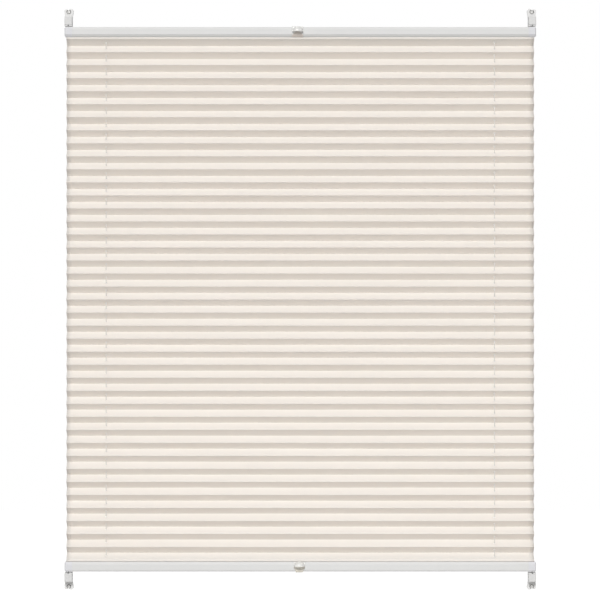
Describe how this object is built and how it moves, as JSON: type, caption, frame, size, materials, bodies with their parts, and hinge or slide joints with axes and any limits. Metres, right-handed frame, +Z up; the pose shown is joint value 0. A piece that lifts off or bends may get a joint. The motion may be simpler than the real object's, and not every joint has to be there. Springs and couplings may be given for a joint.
{
  "type": "pleated blind",
  "caption": "Tensioned pleated window blind: beige accordion fabric between two sliding white rails on taut cords held by screwed corner shoes.",
  "frame": {"origin": "midway between the four mounting screws, in the plane of the window frame's face", "axes": "+X to the right as seen from the room, +Y into the window frame, +Z up"},
  "size_m": [0.8026, 0.0573, 0.9884],
  "materials": {
    "fabric": "woven polyester, cream beige, slightly translucent",
    "cord": "braided polyester cord, off-white",
    "rail_paint": "white powder coat on aluminium, satin",
    "cap_plastic": "moulded white plastic, satin",
    "shoe_plastic": "moulded white plastic, satin",
    "clear_plastic": "smoky clear plastic, glossy",
    "screw_steel": "zinc plated steel"
  },
  "bodies": {
    "mounting": {"pleated_fabric": "fabric", "tension_cord_left": "cord", "tension_cord_right": "cord", "shoe_base_upper_left": "shoe_plastic", "cord_holder_upper_left": "shoe_plastic", "cord_bead_upper_left": "clear_plastic", "shoe_screw_upper_left": "screw_steel", "shoe_base_upper_right": "shoe_plastic", "cord_holder_upper_right": "shoe_plastic", "cord_bead_upper_right": "clear_plastic", "shoe_screw_upper_right": "screw_steel", "shoe_base_lower_left": "shoe_plastic", "cord_holder_lower_left": "shoe_plastic", "cord_bead_lower_left": "clear_plastic", "shoe_screw_lower_left": "screw_steel", "shoe_base_lower_right": "shoe_plastic", "cord_holder_lower_right": "shoe_plastic", "cord_bead_lower_right": "clear_plastic", "shoe_screw_lower_right": "screw_steel"},
    "upper_rail_body": {"upper_rail": "rail_paint", "fabric_strip_upper": "cap_plastic", "upper_handle": "clear_plastic", "end_cap_upper_left": "cap_plastic", "end_cap_upper_right": "cap_plastic", "cord_guide_upper_left": "cap_plastic", "cord_guide_upper_right": "cap_plastic"},
    "lower_rail_body": {"lower_rail": "rail_paint", "fabric_strip_lower": "cap_plastic", "lower_handle": "clear_plastic", "end_cap_lower_left": "cap_plastic", "end_cap_lower_right": "cap_plastic", "cord_guide_lower_left": "cap_plastic", "cord_guide_lower_right": "cap_plastic"}
  },
  "joints": [
    {"name": "upper_rail_slide", "type": "slide", "parent": "mounting", "child": "upper_rail_body", "axis": [0, 0, 1], "range_m": [-0.42, 0], "deforming": ["pleated_fabric", "tension_cord_left", "tension_cord_right"]},
    {"name": "lower_rail_slide", "type": "slide", "parent": "mounting", "child": "lower_rail_body", "axis": [0, 0, 1], "range_m": [0, 0.42], "deforming": ["pleated_fabric", "tension_cord_left", "tension_cord_right"]}
  ]
}
